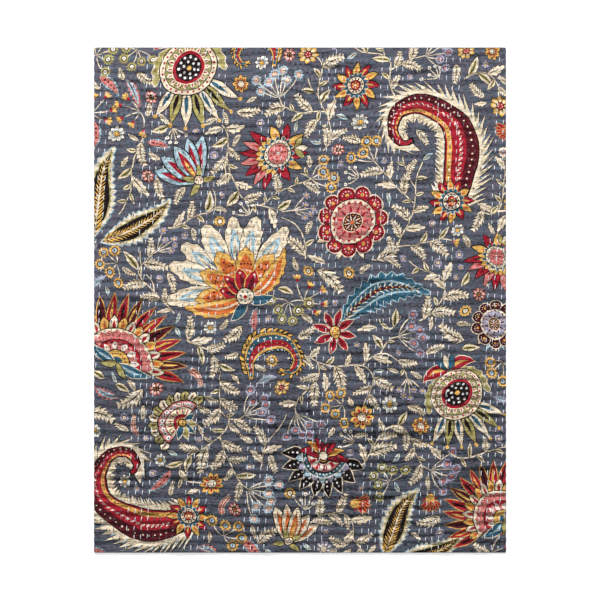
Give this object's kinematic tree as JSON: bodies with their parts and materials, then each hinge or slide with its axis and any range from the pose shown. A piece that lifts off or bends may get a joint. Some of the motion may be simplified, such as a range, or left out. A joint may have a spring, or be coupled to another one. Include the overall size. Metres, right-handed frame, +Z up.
{
  "type": "kantha quilt",
  "caption": "Cut length of hand-stitched cotton kantha quilt, lying flat with its flowered print up, puckered by rows of running stitch.",
  "frame": {"origin": "middle of the flat underside, on the surface that the quilt lies on", "axes": "+Z up out of the printed face, +Y along the stitched rows towards the end that is up in use, +X across the rows to the right"},
  "size_m": [0.62, 0.76, 0.0042],
  "materials": {
    "printed_cotton": "soft matt hand-washed cotton, slate ground with a flowered print in cream, crimson, gold, teal and pink",
    "white_thread": "soft white cotton sewing thread in running stitch",
    "slate_thread": "soft slate cotton sewing thread in running stitch"
  },
  "bodies": {
    "root": {"quilt": "printed_cotton"}
  },
  "joints": []
}
